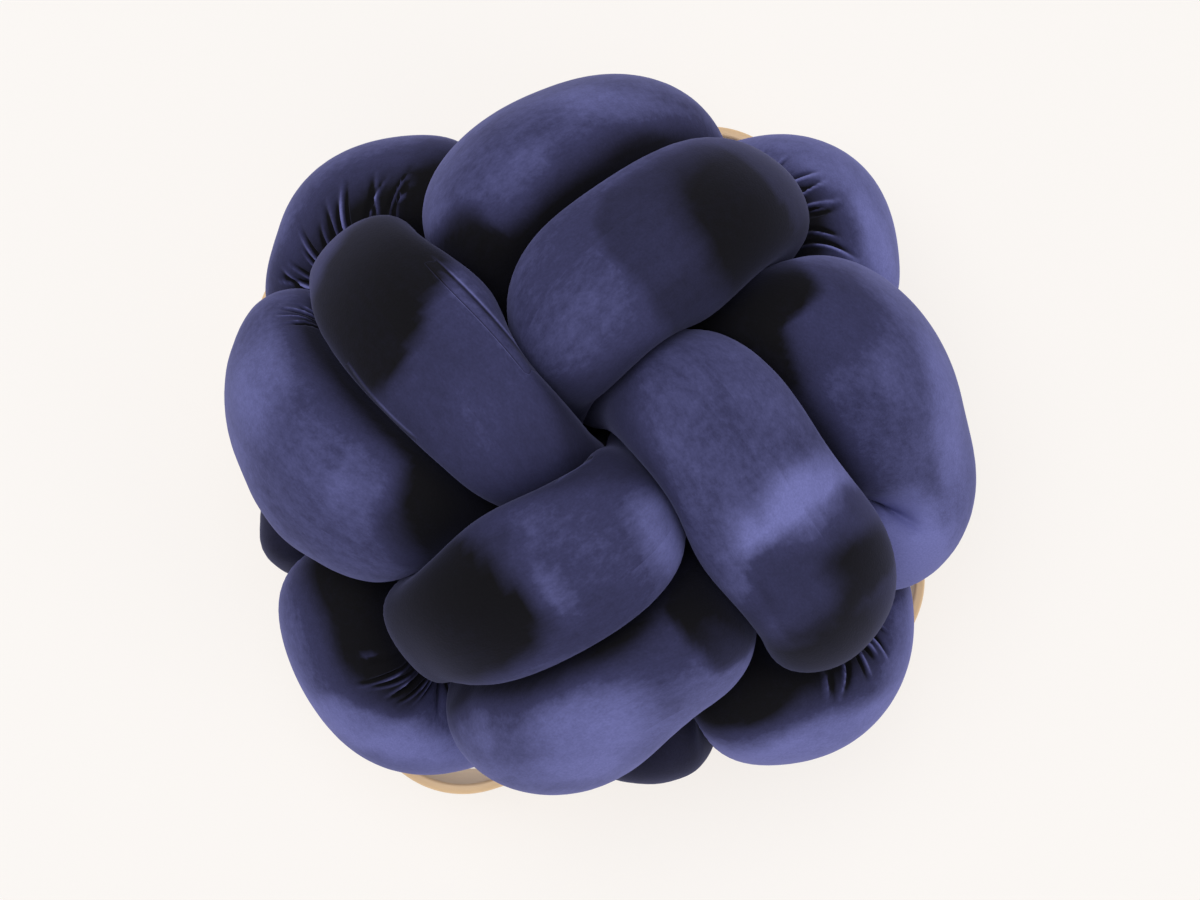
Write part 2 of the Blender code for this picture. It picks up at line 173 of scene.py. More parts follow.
# Where a fold in the pressed shape is stroked out, in the same way.
Smooth = namedtuple("Smooth", "tube x y above reach rounds")
SMOOTH = (
    Smooth(OUTER, 0.1900, -0.0470, 0.120, 0.022, 40),
)

# Fine creases in the cloth, each a small bump with a painted highlight along it and painted shade
# beside it.  Seen from above, in metres: on the stretch "start" to "end" of a tube, from one point
# to the other, how far it bows and its width.
Line = namedtuple("Line", "tube start end x y to_x to_y bow width")
LINES = (
    Line(INNER, 0.015, 0.125, -0.0930, 0.1003, -0.0274, 0.0274, 0.0022, 0.0008),
    Line(INNER, 0.015, 0.125, -0.1438, 0.0416, -0.0954, -0.0102, -0.0030, 0.0008),
    Line(INNER, 0.250, 0.330, 0.0046, -0.0185, -0.0206, -0.0348, -0.0015, 0.0008),
)

# Marks of lighter and darker pile for each stretch "start" to "end" of a tube: some where
# the pile has been stroked the other way, painted with the sheen or shade it shows, and some
# painted shade by the creases and painted sheen along the rims.  Seen from above, in metres:
# middle x and y, half length and width, and how far the mark is turned, in degrees; "soft" is
# the share of it that fades out, "tone" lightens or darkens it.
Mark = namedtuple("Mark", "x y long wide turn soft tone")
MARKS = (
    (INNER, 0.02, 0.15, (
        (-0.128, 0.080, 0.058, 0.039, 66, 0.4, -0.62), (-0.109, 0.017, 0.034, 0.028, 60, 1, -0.08),
        (-0.060, 0.062, 0.045, 0.008, -53, 1, 0.1), (-0.067, 0.002, 0.025, 0.017, -53, 1, 0.04),
    )),
    (INNER, 0.75, 0.9, (
        (0.068, 0.110, 0.054, 0.055, 37, 0.1, -0.24), (0.108, 0.125, 0.047, 0.054, 37, 0.65, -0.36),
        (-0.017, 0.052, 0.034, 0.034, 45, 1, 0.01), (0.056, 0.075, 0.034, 0.010, 37, 0.8, -0.06),
    )),
    (INNER, 0.5, 0.65, (
        (0.121, -0.043, 0.040, 0.019, 36, 1.5, 0.5), (0.139, -0.078, 0.047, 0.032, 36, 0.16, -0.2),
        (0.121, -0.103, 0.026, 0.017, 34, 1.2, 0.38), (0.151, -0.116, 0.073, 0.044, 30, 0.4, -0.4),
        (0.085, -0.061, 0.017, 0.009, -45, 1, 0.12), (0.135, -0.142, 0.054, 0.022, 30, 1, -0.26),
    )),
    (INNER, 0.25, 0.4, (
        (-0.083, -0.112, 0.054, 0.040, 28, 0.5, -0.66), (-0.039, -0.084, 0.034, 0.010, -38, 1.2, 0.3),
        (0.045, -0.060, 0.026, 0.015, -55, 1, 0.36), (0.006, -0.105, 0.031, 0.012, 25, 1, -0.08),
        (-0.017, -0.054, 0.034, 0.017, 25, 1, 0.04),
    )),
    (OUTER, 0.75, 0.9, (
        (0.036, 0.201, 0.054, 0.013, -2, 1, 0.2), (-0.039, 0.144, 0.025, 0.013, 60, 1, 0.12),
        (-0.073, 0.111, 0.020, 0.016, -50, 0.8, -0.4), (0.060, 0.174, 0.036, 0.012, 10, 1, -0.2),
    )),
    (OUTER, 0.5, 0.65, (
        (0.097, 0.081, 0.037, 0.024, 30, 0.35, -0.5), (0.135, 0.068, 0.040, 0.036, 30, 0.6, -0.18),
        (0.223, 0.007, 0.050, 0.012, -72, 1, 0.22), (0.204, -0.070, 0.031, 0.028, 60, 0.9, 0.36),
        (0.174, -0.005, 0.036, 0.018, -50, 1, -0.05),
    )),
    (OUTER, 0.25, 0.4, (
        (0.001, -0.174, 0.034, 0.029, 42, 1, 0.3), (0.083, -0.105, 0.032, 0.029, 40, 0.25, -0.46),
        (0.030, -0.131, 0.036, 0.016, 25, 0.8, -0.12), (-0.018, -0.204, 0.048, 0.008, 3, 1, 0.16),
        (-0.066, -0.179, 0.016, 0.007, -75, 1, 0.12),
    )),
    (OUTER, 0, 0.15, (
        (-0.204, 0.031, 0.044, 0.024, 78, 1.4, 0.2), (-0.131, -0.035, 0.028, 0.018, 62, 0.6, 0.12),
        (-0.082, -0.051, 0.034, 0.028, 35, 0.9, -0.5), (-0.173, -0.011, 0.042, 0.018, -40, 1, 0.05),
    )),
    (INNER, 0.375, 0.49, (
        (-0.186, 0.135, 0.058, 0.013, 52, 1, 0.06), (-0.154, 0.190, 0.039, 0.010, 15, 1, 0.04),
    )),
    (INNER, 0.13, 0.24, (
        (0.191, 0.130, 0.039, 0.010, -72, 1, 0.22), (0.149, 0.186, 0.032, 0.012, -12, 1, 0.1),
    )),
    (INNER, 0.875, 0.99, (
        (0.091, -0.161, 0.032, 0.018, -12, 1, -0.34), (0.158, -0.190, 0.053, 0.015, 18, 1.2, 0.28),
        (0.203, -0.136, 0.026, 0.010, -85, 1, 0.08),
    )),
    (INNER, 0.62, 0.74, (
        (-0.140, -0.191, 0.052, 0.015, -20, 1, 0.34), (-0.186, -0.129, 0.039, 0.010, 82, 1, 0.06),
        (-0.131, -0.110, 0.045, 0.022, 70, 0.8, -0.3),
    )),
)

# How light each stretch of tube is on the whole, how much painted shade darkens it at its upper
# crease and how far that shade spreads, and how much painted sheen lightens it where it turns down.
Stretch = namedtuple("Stretch", "tube start end tone shade spread rim")
STRETCHES = (
    Stretch(INNER, 0.02, 0.12, 0.45, 0.24, 0.007, 0.04),
    Stretch(INNER, 0.25, 0.36, 0.50, 0.24, 0.008, 0.06),
    Stretch(INNER, 0.50, 0.61, 0.56, 0.20, 0.008, 0.08),
    Stretch(INNER, 0.75, 0.86, 0.52, 0.24, 0.008, 0.05),
    Stretch(INNER, 0.13, 0.24, 0.81, 0.95, 0.024, 0.18),
    Stretch(INNER, 0.37, 0.49, 0.65, 0.90, 0.034, 0.18),
    Stretch(INNER, 0.62, 0.74, 0.66, 0.85, 0.036, 0.18),
    Stretch(INNER, 0.87, 0.99, 0.84, 0.90, 0.028, 0.22),
    Stretch(OUTER, 0.01, 0.12, 0.54, 0.60, 0.014, 0.16),
    Stretch(OUTER, 0.26, 0.36, 0.60, 0.55, 0.012, 0.24),
    Stretch(OUTER, 0.51, 0.62, 0.61, 0.50, 0.012, 0.26),
    Stretch(OUTER, 0.76, 0.87, 0.55, 0.55, 0.016, 0.20),
# The low passes of the outer tube, under the others, are kept near black: painted shade.
) + tuple(Stretch(OUTER, start, start + 0.12, 0.14, 0.20, 0.020, 0.0) for start in (0.13, 0.38, 0.63, 0.88))


def ramp(values):
    """Held between 0 and 1."""
    return np.clip(values, 0, 1)


def eased(values):
    """Held between 0 and 1, with soft ends."""
    share = ramp(values)
    return share * share * (3 - 2 * share)


# ---------------- the path
def ball_profile(count=400):
    """Distance over the surface from the pole, radius and height, in pitches."""
    angle = np.linspace(0.0, math.pi / 2, count)
    radius = BALL_RADIUS * np.sin(angle) ** (2 / BALL_POWER)
    height = BALL_HEIGHT * np.cos(angle) ** (2 / BALL_POWER)
    steps = np.hypot(np.diff(radius), np.diff(height))
    return np.concatenate([[0.0], np.cumsum(steps)]), radius, height


PROFILE = ball_profile()
EQUATOR = PROFILE[0][-1]


def on_ball(distance):
    """Radius, height and outward normal at a distance from the pole."""
    over, radius, height = PROFILE
    below = distance > EQUATOR
    d = np.where(below, 2 * EQUATOR - distance, distance)
    step = 0.02
    far, near = np.clip(d + step, 0, EQUATOR), np.clip(d - step, 0, EQUATOR)
    run = np.interp(far, over, radius) - np.interp(near, over, radius)
    rise = np.interp(far, over, height) - np.interp(near, over, height)
    size = np.hypot(run, rise)
    sign = np.where(below, -1.0, 1.0)
    return (np.interp(d, over, radius), sign * np.interp(d, over, height),
            -rise / size, sign * run / size)


def pass_points(table, bearing, underneath, shift=0.0, start=0.0, end=0.0, tip=0.0, dive=0.0,
                lobe=(0.0, 0.0, 0.0)):
    """The key points of one pass, in pitches, with its loop's own shifts."""
    along, out, lift = np.array(table).T
    if underneath:
        lift = lift + np.interp(along, (-0.5, 0.42, 1.12, 1.75, 2.6), (0.0, *lobe, 0.0))
        lift = lift + dive * ramp((-2.0 - along) / 0.7)
    else:
        after = ramp(along + 0.5) * ramp((2.6 - along) / 0.9)
        late = ramp((along - 0.9) / 1.1) * ramp((3.4 - along) / 0.6)
        out = out + shift * after + start * ramp(1 - np.abs(along - 0.1) / 0.9) + end * late
        lift = lift + 0.4 * shift * after + 0.5 * tip * late + dive * ramp((along - 1.2) / 0.8)
        along = along + tip * late
    turn = math.radians(bearing) - np.arctan2(along, out)
    radius, height, n_out, n_up = on_ball(np.hypot(along, out))
    radius = radius + lift * n_out
    height = height + lift * n_up
    if underneath:
        height = -height
    return np.stack([radius * np.cos(turn), radius * np.sin(turn), height], -1)


def slumped(points):
    """The lower half sags a little and spreads outwards."""
    share = eased((SLUMP_FROM - points[:, 2]) / (SLUMP_FROM - SLUMP_TO))
    out = points.copy()
    out[:, :2] *= (1 + SLUMP * share)[:, None]
    out[:, 2] = np.where(out[:, 2] < 0, out[:, 2] * SAG, out[:, 2])
    under = ramp(-points[:, 2] - LEAN_FROM)
    out[:, :2] += under[:, None] * np.array(LEAN)
    return out


def knot_keys(top, low, inner):
    """Key points of a whole tube: over, under, and on to the next loop."""
    passes = []
    for number, loop in enumerate(LOOPS):
        bearing = FIRST_LOOP - 270.0 * number
        if inner:
            passes.append(pass_points(top, bearing, False, loop.inner, loop.heel, loop.tuck, loop.tip,
                                      loop.dive))
            passes.append(pass_points(low, bearing - 135.0, True, dive=loop.dive,
                                      lobe=(loop.first, loop.middle, loop.last)))
        else:
            passes.append(pass_points(top, bearing - loop.swing, False, loop.outer, loop.toe, loop.flare))
            passes.append(pass_points(low, bearing - 135.0, True))
    keys = []
    for here, after in zip(passes, passes[1:] + passes[:1]):
        keys.append(here[1:-1])
        keys.append(((here[-1] + after[0]) / 2)[None])
    points = slumped(np.concatenate(keys)) * PITCH
    points[:, 2] += MIDDLE
    return points


def smooth_loop(keys, count):
    """A closed cubic spline through the keys, in even steps."""
    n = len(keys)
    following = np.roll(keys, -1, 0)
    knots = np.linalg.norm(following - keys, axis=1) ** 0.5
    matrix, right = np.zeros((n, n)), np.zeros((n, 3))
    for i in range(n):
        before, after = knots[i - 1], knots[i]
        matrix[i, i - 1] += before
        matrix[i, i] += 2 * (before + after)
        matrix[i, (i + 1) % n] += after
        right[i] = 6 * ((following[i] - keys[i]) / after - (keys[i] - keys[i - 1]) / before)
    bend = np.linalg.solve(matrix, right)
    x = np.linspace(0, 1, SPAN_STEPS, endpoint=False)[:, None]
    spans = []
    for i in range(n):
        h, j = knots[i], (i + 1) % n
        spans.append((1 - x) * keys[i] + x * keys[j] + h * h / 6 * (
            ((1 - x) ** 3 - (1 - x)) * bend[i] + (x ** 3 - x) * bend[j]))
    dense = np.concatenate(spans)
    dense = np.concatenate([dense, dense[:1]])
    length = np.concatenate([[0.0], np.cumsum(np.linalg.norm(np.diff(dense, axis=0), axis=1))])
    where = np.linspace(0, length[-1], count, endpoint=False)
    return np.stack([np.interp(where, length, dense[:, k]) for k in range(3)], -1)


# ---------------- the press
def band_distance(points):
    """Signed distance in plan from the band's inner wall; below zero is inside."""
    turn = math.radians(BAND_TURN)
    x = np.abs(points[..., 0] * math.cos(turn) + points[..., 1] * math.sin(turn))
    y = np.abs(points[..., 1] * math.cos(turn) - points[..., 0] * math.sin(turn))
    half, corner = BAND_HALF - BAND_THICK, BAND_CORNER - BAND_THICK
    dx, dy = x - (half - corner), y - (half - corner)
    outside = np.hypot(np.maximum(dx, 0), np.maximum(dy, 0))
    return outside + np.minimum(np.maximum(dx, dy), 0) - corner


def free_reach(starts, ways, longest):
    """How far each ray runs before it meets the band or the clear underside."""
    steps = np.arange(0.0, longest, RAY_STEP)
    reach = np.full(ways.shape[:2], longest)
    for i in range(len(starts)):
        if starts[i, 2] > BAND_HEIGHT + longest:
            continue
        points = starts[i] + steps[:, None, None] * ways[i]
        low = points[..., 2] < BAND_HEIGHT - BAND_PRESS
        hit = (low & (band_distance(points) > BAND_PRESS)) | (points[..., 2] < UNDERSIDE)
        first = np.where(hit.any(0), hit.argmax(0), len(steps))
        reach[i] = np.minimum(reach[i], steps[np.clip(first - 1, 0, len(steps) - 1)])
    return reach


def across(path):
    """Two directions square to the path at each point, the first outwards."""
    along = np.roll(path, -1, 0) - np.roll(path, 1, 0)
    along /= np.linalg.norm(along, axis=1, keepdims=True)
    outward = (path - (0, 0, MIDDLE)) * (1.0, 1.0, UPRIGHT)
    outward -= (outward * along).sum(1, keepdims=True) * along
    outward /= np.linalg.norm(outward, axis=1, keepdims=True)
    return outward, np.cross(along, outward)


def blurred(values, axis):
    """Each value drawn towards its two neighbours along an axis."""
    return (np.roll(values, 1, axis) + 2 * values + np.roll(values, -1, axis)) / 4


def pressed_radii(path, own, others, sides, crease):
    """Radius of the tube each way, its directions, and where others press it."""
    count = len(path)
    length = np.linalg.norm(np.roll(own, -1, 0) - own, axis=1).sum()
    outward, aside = across(path)
    angle = np.arange(sides) * 2 * math.pi / sides
    ways = (np.cos(angle)[None, :, None] * outward[:, None]
            + np.sin(angle)[None, :, None] * aside[:, None])
    limit = np.full((count, sides), OPEN)
    place = np.arange(len(own)) / len(own)
    for i in range(count):
        away = np.abs(place - i / count)
        away = np.minimum(away, 1 - away) * length
        near = np.concatenate([own[away > OWN_APART * PITCH], others]) - path[i]
        gap = np.linalg.norm(near, axis=1)
        near, gap = near[gap < NEAR * PITCH], gap[gap < NEAR * PITCH]
        facing = ways[i] @ (near / gap[:, None]).T
        reach = (gap / 2 - crease / 2)[None, :] / np.maximum(facing, 1e-3)
        limit[i] = np.where(facing > 1e-3, reach, OPEN).min(1)
    neighbours = limit.copy()
    step = length / count
    bend = (np.roll(path, -1, 0) - 2 * path + np.roll(path, 1, 0)) / step ** 2
    inward = np.einsum("ikd,id->ik", ways, bend)
    limit = np.minimum(limit, np.where(inward > 0.1, BEND_GUARD / np.maximum(inward, 0.1), OPEN))
    full = FULL_RADIUS * PITCH
    reach = free_reach(path, ways, full * SWELL * 1.1)
    hard = np.minimum(limit, reach)
    for axis in (0, 1):
        reach = np.minimum(np.minimum(np.roll(reach, 1, axis), np.roll(reach, -1, axis)), reach)
    for axis in (0, 1, 0):
        reach = blurred(reach, axis)
    limit = np.minimum(limit, reach)

    share = ramp((path[:, 2] - MIDDLE) / PITCH - 0.1)[:, None]
    power = SQUARE[0] + (SQUARE[1] - SQUARE[0]) * share
    free = (np.abs(np.cos(angle)) ** power + np.abs(np.sin(angle)) ** power) ** (-1 / power)

    def rounded(size):
        return ((size[:, None] * free) ** -PRESS + limit ** -PRESS) ** (-1 / PRESS)

    size = np.full(count, full)
    for _ in range(6):
        radii = rounded(size)
        area = 0.5 * math.sin(angle[1]) * (radii * np.roll(radii, -1, 1)).sum(1)
        size = np.clip(size * (FILL * full ** 2 / area) ** 0.35, full, full * SWELL)
        for _ in range(3):
            size = blurred(size, 0)
    radii = rounded(size)
    for _ in range(round(2 * (count / 220) ** 2)):
        radii = blurred(radii, 0)
    radii = np.minimum(radii, hard)
    return radii, ways, ramp((radii / neighbours - HELD_FROM) / HELD_FADE)


def skin_faces(count, sides):
    """Corners of the triangles that skin the sections, ring by ring."""
    i, k = np.meshgrid(np.arange(count), np.arange(sides), indexing="ij")
    j, m = (i + 1) % count, (k + 1) % sides
    a, b, c, d = (corner.ravel() for corner in (i * sides + k, j * sides + k, j * sides + m,
                                                i * sides + m))
    return np.concatenate([np.stack([a, b, c], 1), np.stack([a, c, d], 1)])


def ease_apart(tubes, band):
    """Draw the skins in, a little at a time, until none touches another."""
    count, sides = tubes[0][1].shape
    corners = skin_faces(count, sides)
    faces = corners.tolist()
    wood = BVHTree.FromPolygons(*band)
    for number in range(EASE_ROUNDS):
        if number in EASE_SMOOTH:
            for _, radii, _ in tubes:
                radii[:] = blurred(blurred(radii, 0), 1)
        trees = []
        for path, radii, ways in tubes:
            swollen = path[:, None] + (radii + CLEAR / 2)[..., None] * ways
            trees.append(BVHTree.FromPolygons(swollen.reshape(-1, 3).tolist(), faces))
        marks = [np.zeros(count * sides, bool) for _ in tubes]
        for a, tree in enumerate(trees):
            own = np.array(tree.overlap(tree), int).reshape(-1, 2)
            first, second = corners[own[:, 0]], corners[own[:, 1]]
            apart = (first[:, :, None] != second[:, None, :]).all((1, 2))
            marks[a][first[apart]] = True
            touching = np.array(tree.overlap(wood), int).reshape(-1, 2)
            marks[a][corners[touching[:, 0]]] = True
        both = np.array(trees[0].overlap(trees[1]), int).reshape(-1, 2)
        marks[0][corners[both[:, 0]]] = True
        marks[1][corners[both[:, 1]]] = True
        if not any(mark.any() for mark in marks):
            break
        for (_, radii, _), mark in zip(tubes, marks):
            radii -= EASE * mark.reshape(count, sides)


# ---------------- the fine skin
def cubic(grid, places):
    """Closed cubic resampling of the first axis at fractional places."""
    n = len(grid)
    i = np.floor(places).astype(int)
    f = (places - i).reshape((-1,) + (1,) * (grid.ndim - 1))
    a, b, c, d = grid[(i - 1) % n], grid[i % n], grid[(i + 1) % n], grid[(i + 2) % n]
    return 0.5 * (2 * b + (c - a) * f + (2 * a - 5 * b + 4 * c - d) * f ** 2
                  + (3 * b - a - 3 * c + d) * f ** 3)


def refined(grid, rows, columns):
    """The same grid with rows at the given places and more columns."""
    tall = cubic(grid, rows)
    wide = cubic(np.swapaxes(tall, 0, 1), np.arange(columns) * grid.shape[1] / columns)
    return np.swapaxes(wide, 0, 1)


def ring_places(length, path, zones, count):
    """Where the fine rings go: close together in the puckers and on show."""
    place = np.linspace(0, 1, 4000, endpoint=False)
    height, reach = (np.interp(place, np.linspace(0, 1, len(path) + 1), np.append(values, values[0]))
                     for values in (path[:, 2], np.hypot(path[:, 0], path[:, 1])))
    shown = ramp((height - MIDDLE) / PITCH) + ramp(reach / PITCH - 1.8)
    density = 0.5 + 0.5 * ramp(shown)
    for start, end in zones:
        inside = ((place - start) % 1.0) * length
        long = ((end - start) % 1.0) * length
        density += 4.5 * ramp(inside / 0.01) * ramp((long - inside) / 0.01)
    total = np.concatenate([[0.0], np.cumsum(density)])
    return np.interp(np.linspace(0, total[-1], count, endpoint=False), total, np.linspace(0, 1, 4001))


def crease_distance(skin, pressed):
    """Distance over the skin from the crease on a section's outer side."""
    sides = skin.shape[1]
    half = sides // 2
    rows = np.arange(len(skin))
    place = np.zeros(skin.shape[:2])
    for way in (-1, 1):
        order = (way * np.arange(half + 1)) % sides
        steps = np.linalg.norm(np.diff(skin[:, order], axis=1), axis=2)
        run = np.concatenate([np.zeros((len(skin), 1)), np.cumsum(steps, 1)], 1)
        place[:, order[1:half]] = way * run[:, 1:half]
        place[:, order[half]] = run[:, half]
    held = pressed[:, order]
    over = held > 0.5
    over[:, :round(sides * 15 / 360)] = False
    over[:, -1] = True
    at = over.argmax(1)
    before, after = held[rows, at - 1], held[rows, at]
    share = ramp((0.5 - before) / np.maximum(after - before, 1e-6))
    crease = run[rows, at - 1] + share * (run[rows, at] - run[rows, at - 1])
    for _ in range(60):
        crease = blurred(crease, 0)
    return np.maximum(crease[:, None] - place, 0)


def folds(where, distance, length, gather, rng):
    """Sharp little troughs, each with a thin ridge beside it: height, and a painted highlight on the ridge
    with painted shade in the trough.
    """
    long = (gather.end - gather.start) * length
    run = ((where - gather.start + 0.5) % 1.0 - 0.5) * length
    height, painted_fold_shading = np.zeros_like(distance), np.zeros_like(distance)
    spacing = long / gather.folds
    for number in range(gather.folds):
        middle = (number + 0.5 + rng.uniform(-0.28, 0.28)) * spacing
        edge = math.sin(math.pi * (number + 0.5) / gather.folds) ** 0.3
        begin = gather.reach * rng.uniform(0.0, 0.22)
        reach = gather.reach * rng.uniform(0.55, 1.25) * (0.5 + 0.5 * edge)
        lean = rng.uniform(-0.25, 0.25) + 0.2 * (2 * number / gather.folds - 1)
        bow = rng.uniform(-8.0, 8.0)
        width = rng.uniform(0.0012, 0.0018)
        side = rng.choice((-1.0, 1.0))
        strength = gather.depth * rng.uniform(0.65, 1.15) * (0.55 + 0.45 * edge)
        offset = (run[:, None] - middle - lean * distance - bow * distance ** 2) / width
        fade = ramp((reach - distance) / (0.6 * reach)) * np.clip((distance - begin) / 0.004 + 0.5, 0.25, 1)
        trough = np.exp(-offset ** 2)
        ridge = np.exp(-((offset - 1.7 * side) / 0.75) ** 2)
        height += strength * fade * (0.55 * ridge - trough)
        # Painted highlight on the ridge, painted shade in the trough.
        painted_fold_shading += strength * fade * (0.75 * ridge - 0.6 * trough)
    return height, painted_fold_shading


def filling_lumps(where, sides, rng, height):
    """Slow, low unevenness of the filling."""
    angle = np.arange(sides) * 2 * math.pi / sides
    out = np.zeros((len(where), sides))
    for waves, lobes in ((23, 1), (31, 2), (41, 2), (53, 3)):
        phase, turn = rng.uniform(0, 2 * math.pi, 2)
        out += np.sin(2 * math.pi * waves * where[:, None] + phase) * np.cos(lobes * angle + turn)
    return out * height / 2.0


def within(where, start, end, fade=0.012):
    """One along a stretch of the tube, fading to nothing at its ends."""
    half = (end - start) / 2
    off = np.abs((where - start - half + 0.5) % 1.0 - 0.5)
    return eased((half - off) / fade + 0.5)


def bulges(tube, skin):
    """How far the skin stands out over the pressed shape, where the table says so."""
    out = np.zeros(skin.shape[:2])
    for row in BULGES:
        if row.tube in (tube, BOTH):
            away = np.hypot(skin[..., 0] - row.x, skin[..., 1] - row.y) / row.reach
            out += row.height * eased(1 - away) * ramp((skin[..., 2] - row.above) / 0.02)
    return out


def smoothed(tube, skin):
    """The skin with a hard fold stroked out, where the table says so."""
    for row in SMOOTH:
        if row.tube == tube:
            away = np.hypot(skin[..., 0] - AXIS[0] - row.x, skin[..., 1] - AXIS[1] - row.y) / row.reach
            share = (ramp(1.5 * (1 - away)) * (skin[..., 2] > row.above))[..., None]
            for _ in range(row.rounds):
                skin = skin + share * (blurred(blurred(skin, 0), 1) - skin)
    return skin


def pile_tone_and_painted_light(tube, where, skin, normal_up, distance):
    """How light the pile looks, 0 near black and 1 the lightest violet: its stroked patches painted with the
    sheen and shade they show, painted shade by the creases and painted sheen where it turns down.
    """
    tone = np.full(distance.shape, PLAIN_TONE)
    # Sides that turn down, away from the crease: painted sheen lightens them by each stretch's share.
    turned = ramp((0.80 - normal_up) / 0.55) * ramp(distance / 0.03 - 0.4)
    for row in STRETCHES:
        if row.tube == tube:
            share = within(where, row.start, row.end)[:, None]
            # Painted shade that darkens the skin next to its upper crease.
            shade = row.shade * np.exp(-(distance / row.spread) ** 1.4)
            tone += share * (row.tone - PLAIN_TONE + row.rim * turned - shade)
    # Marks: stroked patches painted with the sheen and shade they show, painted shade by creases, painted
    # sheen on rims.
    for owner, start, end, rows in MARKS:
        if owner != tube:
            continue
        shown = within(where, start, end, 0.02)[:, None] * ramp(normal_up * 3 + 1.3)
        for mark in (Mark(*row) for row in rows):
            turn = math.radians(mark.turn)
            x, y = skin[..., 0] - mark.x, skin[..., 1] - mark.y
            x, y = x + WAVER * np.sin(150 * y + 260 * x), y + WAVER * np.sin(170 * x - 230 * y + 1.7)
            u = (x * math.cos(turn) + y * math.sin(turn)) / mark.long
            v = (y * math.cos(turn) - x * math.sin(turn)) / mark.wide
            power = 2.4 + 2.4 * (1 - mark.soft)
            far = (np.abs(u) ** power + np.abs(v) ** power) ** (1 / power)
            tone += mark.tone * eased((1 + mark.soft / 2 - far) / mark.soft) * shown
    return tone


def fine_lines(tube, where, skin):
    """Line widths from each point to the nearest fine crease, and how much of that shows."""
    away, shown = np.full(skin.shape[:2], NO_LINE), np.zeros(skin.shape[:2])
    for line in LINES:
        if line.tube == tube:
            reach = math.hypot(line.to_x - line.x, line.to_y - line.y)
            ux, uy = (line.to_x - line.x) / reach, (line.to_y - line.y) / reach
            x, y = skin[..., 0] - line.x, skin[..., 1] - line.y
            along = (x * ux + y * uy) / reach
            off = (y * ux - x * uy - line.bow * 4 * along * (1 - along)) / line.width
            near = ramp(along / 0.15) * ramp((1 - along) / 0.15) * (skin[..., 2] > MIDDLE)
            near = near * within(where, line.start, line.end, 0.004)[:, None]
            closer = (near > 0) & (np.abs(off) < np.maximum(np.abs(away), NO_LINE - 0.1))
            away, shown = np.where(closer, off, away), np.where(closer, near, shown)
    return away, shown


def velvet_mesh(name, skin, where, length, tone, line, shown):
    """Quads, with the cloth's own coordinates in metres, the pile's tone with its painted shade and sheen,
    and fine creases.
    """
    count, sides = skin.shape[:2]
    i, k = (a.ravel() for a in np.meshgrid(np.arange(count), np.arange(sides), indexing="ij"))
    j, m = (i + 1) % count, (k + 1) % sides
    quads = np.stack([i * sides + k, j * sides + k, j * sides + m, i * sides + m], 1)
    around = 2 * math.pi * FULL_RADIUS * PITCH
    following = np.append(where[1:], where[0] + 1.0)
    u = np.stack([where[i], following[i], following[i], where[i]], 1) * length
    v = np.stack([k, k, k + 1, k + 1], 1) / sides * around
    a, b, c, d = (skin.reshape(-1, 3)[quads[:, n]] for n in range(4))
    if np.einsum("nd,nd->n", np.cross(a - c, b - d), (a + b + c + d)).sum() < 0:
        quads, u, v = quads[:, ::-1], u[:, ::-1], v[:, ::-1]
    mesh = bpy.data.meshes.new(name)
    mesh.vertices.add(count * sides)
    mesh.vertices.foreach_set("co", skin.astype(np.float32).ravel())
    mesh.loops.add(quads.size)
    mesh.loops.foreach_set("vertex_index", quads.astype(np.int32).ravel())
    mesh.polygons.add(len(quads))
    mesh.polygons.foreach_set("loop_start", np.arange(0, quads.size, 4, dtype=np.int32))
    cloth = mesh.uv_layers.new(name="Cloth")
    cloth.data.foreach_set("uv", np.stack([u, v], -1).astype(np.float32).ravel())
    for title, values in (("nap_and_painted_light", tone), ("line", line), ("line_shown", shown)):
        layer = mesh.attributes.new(title, "FLOAT", "POINT")
        layer.data.foreach_set("value", values.astype(np.float32).ravel())
    mesh.update(calc_edges=True)
    mesh.validate()
    mesh.shade_smooth()
    return mesh


# ---------------- node helpers
class Field:
    """A node's output that is added, multiplied and raised as if it were a number."""

    def __init__(self, tree, output):
        self.tree, self.output = tree, output

    def joined(self, operation, first, second):
        """A maths node that takes both."""
        made = node(self.tree, "ShaderNodeMath", {0: first, 1: second}, operation=operation)
        return Field(self.tree, made.outputs[0])

    def __add__(self, other):
        return self.joined("ADD", self, other)

    def __sub__(self, other):
        return self.joined("SUBTRACT", self, other)

    def __mul__(self, other):
        return self.joined("MULTIPLY", self, other)

    def __pow__(self, other):
        return self.joined("POWER", self, other)

    def __rpow__(self, other):
        return self.joined("POWER", other, self)

    def held(self):
        """The same result, held between 0 and 1."""
        self.output.node.use_clamp = True
        return self


def feed(tree, made, inputs):
    """Fill inputs with plain values, sockets, fields, or the first output of a node."""
    for name, value in inputs.items():
        if isinstance(value, bpy.types.Node):
            value = value.outputs[0]
        elif isinstance(value, Field):
            value = value.output
        if isinstance(value, bpy.types.NodeSocket):
            tree.links.new(value, made.inputs[name])
        else:
            made.inputs[name].default_value = value


def node(tree, kind, inputs=None, **settings):
    """A new node, with its settings and then its inputs filled in."""
    made = tree.nodes.new(kind)
    for key, value in settings.items():
        setattr(made, key, value)
    feed(tree, made, inputs or {})
    return made


def new_group(name, kind, inputs, outputs):
    """A group with its sockets; each input is a name, a kind and, if wanted, default, subtype, least."""
    group = bpy.data.node_groups.new(name, kind)
    for title, sort, *settings in inputs:
        made = group.interface.new_socket(name=title, in_out="INPUT", socket_type="NodeSocket" + sort)
        for key, value in zip(("default_value", "subtype", "min_value"), settings):
            setattr(made, key, value)
    for title, sort in outputs:
        group.interface.new_socket(name=title, in_out="OUTPUT", socket_type="NodeSocket" + sort)
    return group, node(group, "NodeGroupInput").outputs, node(group, "NodeGroupOutput")


